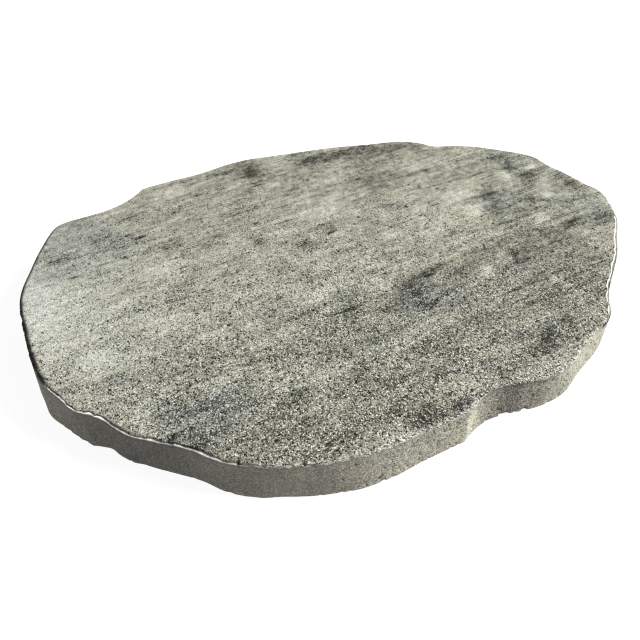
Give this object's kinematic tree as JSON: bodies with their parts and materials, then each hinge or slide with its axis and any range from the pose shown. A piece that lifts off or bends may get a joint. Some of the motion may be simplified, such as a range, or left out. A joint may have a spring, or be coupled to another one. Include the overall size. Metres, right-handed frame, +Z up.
{
  "type": "garden stepping stone",
  "caption": "Flat cast-concrete stepping stone with an irregular waved outline like split rock, a sandy grained tread and a flat underside, laid on a sand or gravel bed to walk on.",
  "frame": {"origin": "middle of the flat underside's bounding box, on the ground", "axes": "+X along the stone's length towards the pointed nose, +Y across its width towards the straighter back edge, +Z up through the tread"},
  "size_m": [0.533, 0.385, 0.038],
  "materials": {
    "concrete": "matte, open sandy grain on the tread, smooth cast walls"
  },
  "bodies": {
    "root": {"stepping_stone": "concrete"}
  },
  "joints": []
}
